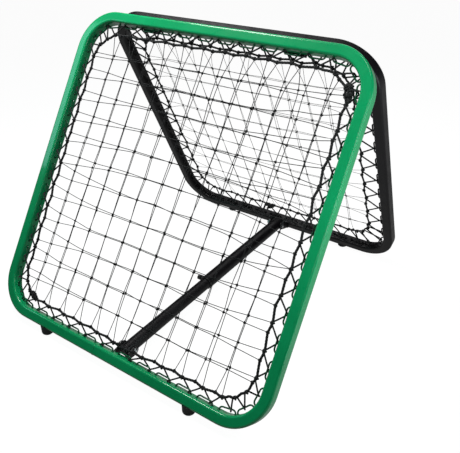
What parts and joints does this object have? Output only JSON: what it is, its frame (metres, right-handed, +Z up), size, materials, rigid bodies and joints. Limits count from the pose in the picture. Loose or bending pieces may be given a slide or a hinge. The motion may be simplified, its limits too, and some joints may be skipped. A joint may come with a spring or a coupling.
{
  "type": "pitch back rebounder",
  "caption": "Free-standing pitch back rebounder: green and black square tube frames with laced nets, hinged at the top and held open by a telescopic strut.",
  "frame": {"origin": "on the ground, at the middle of the footprint of the four feet", "axes": "+X along the rails to the right of a player facing the green frame, +Y from the green front frame towards the black rear frame, +Z up"},
  "size_m": [0.76, 0.7768, 0.6577],
  "materials": {
    "green_paint": "gloss enamel on steel tube",
    "black_paint": "satin black on steel",
    "zinc_steel": "zinc plated",
    "foot_rubber": "matt",
    "net_cord": "knotted twine",
    "rope_cord": "braided cord",
    "black_plastic": "moulded",
    "nylon": "moulded"
  },
  "bodies": {
    "front_frame": {"front_tube_frame": "green_paint", "front_lace_loops": "green_paint", "front_net_face": "net_cord", "front_net_back": "net_cord", "front_border_rope": "rope_cord", "front_lacing_cord": "rope_cord", "front_rope_knots": "rope_cord", "front_rubber_feet": "foot_rubber", "strut_bracket_front": "black_paint", "strut_bolt_front": "zinc_steel", "strut_nut_front": "zinc_steel", "strut_washers_front": "zinc_steel", "hinge_leaves_front": "black_paint", "hinge_pins": "zinc_steel", "hinge_rivets_front": "zinc_steel"},
    "rear_frame": {"rear_tube_frame": "black_paint", "rear_lace_loops": "black_paint", "rear_net_face": "net_cord", "rear_net_back": "net_cord", "rear_border_rope": "rope_cord", "rear_lacing_cord": "rope_cord", "rear_rope_knots": "rope_cord", "rear_rubber_feet": "foot_rubber", "hinge_leaves_rear": "black_paint", "hinge_rivets_rear": "zinc_steel", "strut_bracket_rear": "black_paint", "strut_bolt_rear": "zinc_steel", "strut_nut_rear": "zinc_steel"},
    "strut_outer": {"strut_outer_tube": "black_paint", "strut_guide_sleeve": "black_plastic", "clamp_boss": "black_paint", "strut_rear_plug": "black_plastic"},
    "strut_inner": {"strut_inner_tube": "black_paint", "strut_front_plug": "black_plastic", "strut_slide_plug": "black_plastic"},
    "clamp_nose": {"clamp_nose": "nylon"},
    "clamp_knob": {"clamp_screw": "zinc_steel", "clamp_knob": "black_plastic"}
  },
  "joints": [
    {"name": "frame_fold", "type": "hinge", "parent": "front_frame", "child": "rear_frame", "pos_m": [0, 0.0519, 0.63802], "axis": [-1, 0, 0], "range_deg": [0, 18.17]},
    {"name": "strut_pivot", "type": "hinge", "parent": "rear_frame", "child": "strut_outer", "pos_m": [0, 0.32123, 0.03458], "axis": [1, 0, 0], "range_deg": [0, 11.75]},
    {"name": "strut_slide", "type": "slide", "parent": "strut_outer", "child": "strut_inner", "axis": [0, 0.9998, 0.0206], "range_m": [0, 0.2003]},
    {"name": "nose_lift", "type": "slide", "parent": "strut_outer", "child": "clamp_nose", "axis": [-1, 0, 0], "range_m": [0, 0.0025]},
    {"name": "knob_turn", "type": "hinge", "parent": "clamp_nose", "child": "clamp_knob", "pos_m": [-0.028, -0.02162, 0.0275], "axis": [-1, 0, 0], "range_deg": [0, 721]}
  ],
  "couplings": [
    {"joint": "strut_pivot", "follows": "frame_fold", "ratio": 0.64357},
    {"joint": "strut_slide", "follows": "frame_fold", "m_per_rad": 0.63126},
    {"joint": "knob_turn", "follows": "nose_lift", "rad_per_m": 5026.5}
  ]
}
